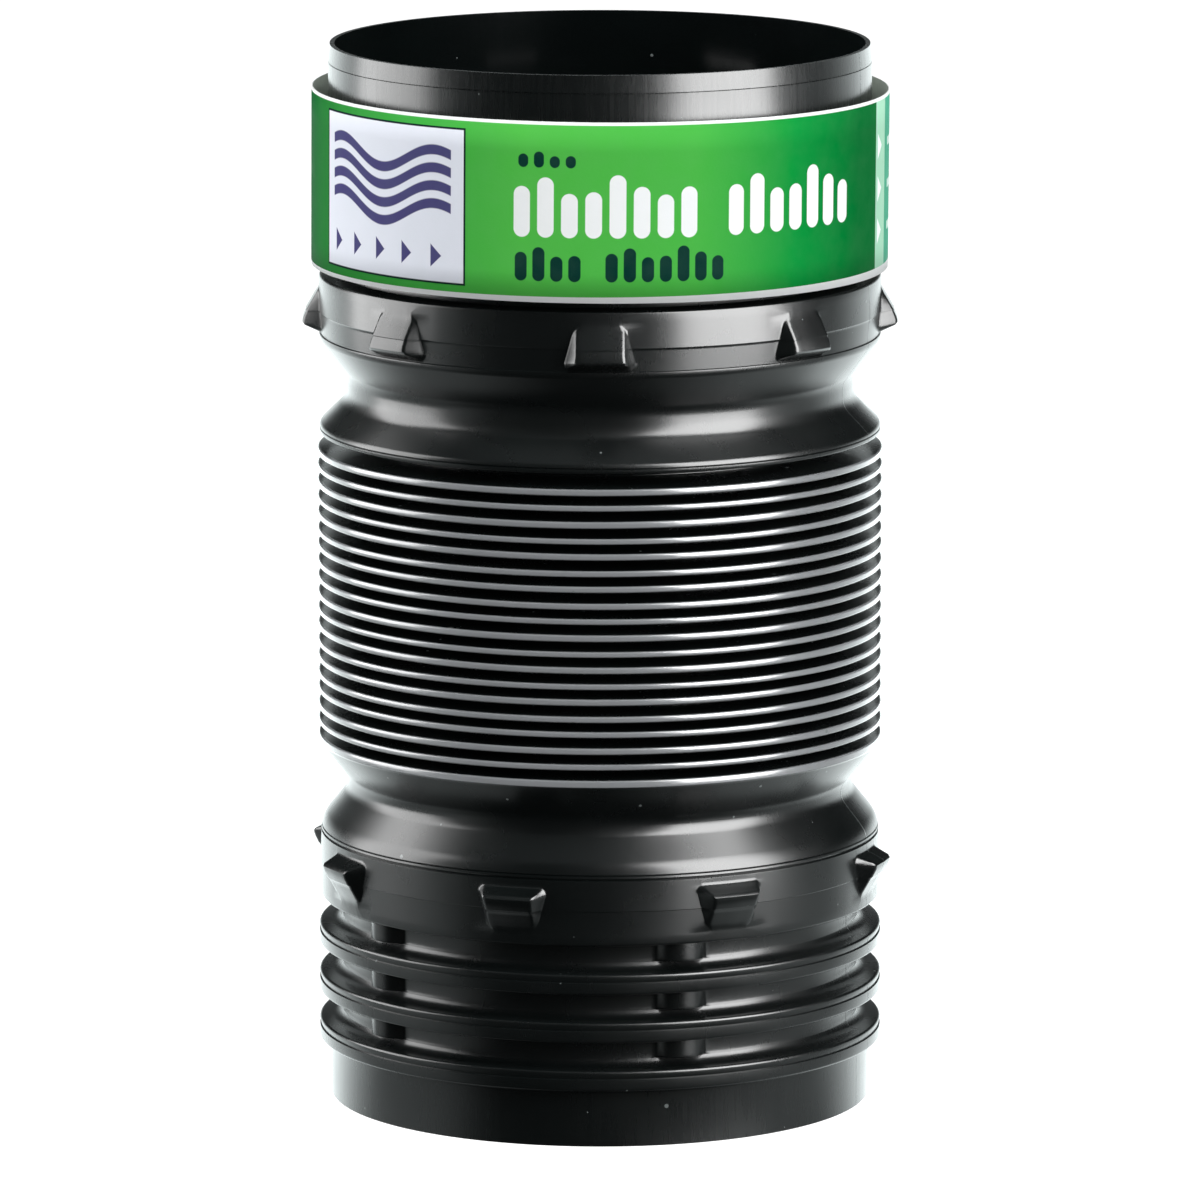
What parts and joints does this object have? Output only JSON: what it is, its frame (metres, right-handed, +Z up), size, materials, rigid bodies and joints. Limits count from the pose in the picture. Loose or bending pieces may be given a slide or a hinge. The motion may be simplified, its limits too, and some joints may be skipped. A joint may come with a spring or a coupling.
{
  "type": "flexible downspout extension",
  "caption": "Blow-moulded drain tube with a folding bellows middle, ribbed plain ends, collars of locking lugs and a card band, squeezed shut.",
  "frame": {"origin": "centre of the bottom rim, on the plane that the tube stands on", "axes": "+Z up the tube's axis to the upper rim, -Y to the front of the label"},
  "size_m": [0.1136, 0.1136, 0.2025],
  "materials": {
    "black_polyethylene": "satin black, lightly scuffed",
    "printed_card": "printed green, lightly glazed"
  },
  "bodies": {
    "root": {"elbow_body": "black_polyethylene", "label_band": "printed_card"}
  },
  "joints": []
}
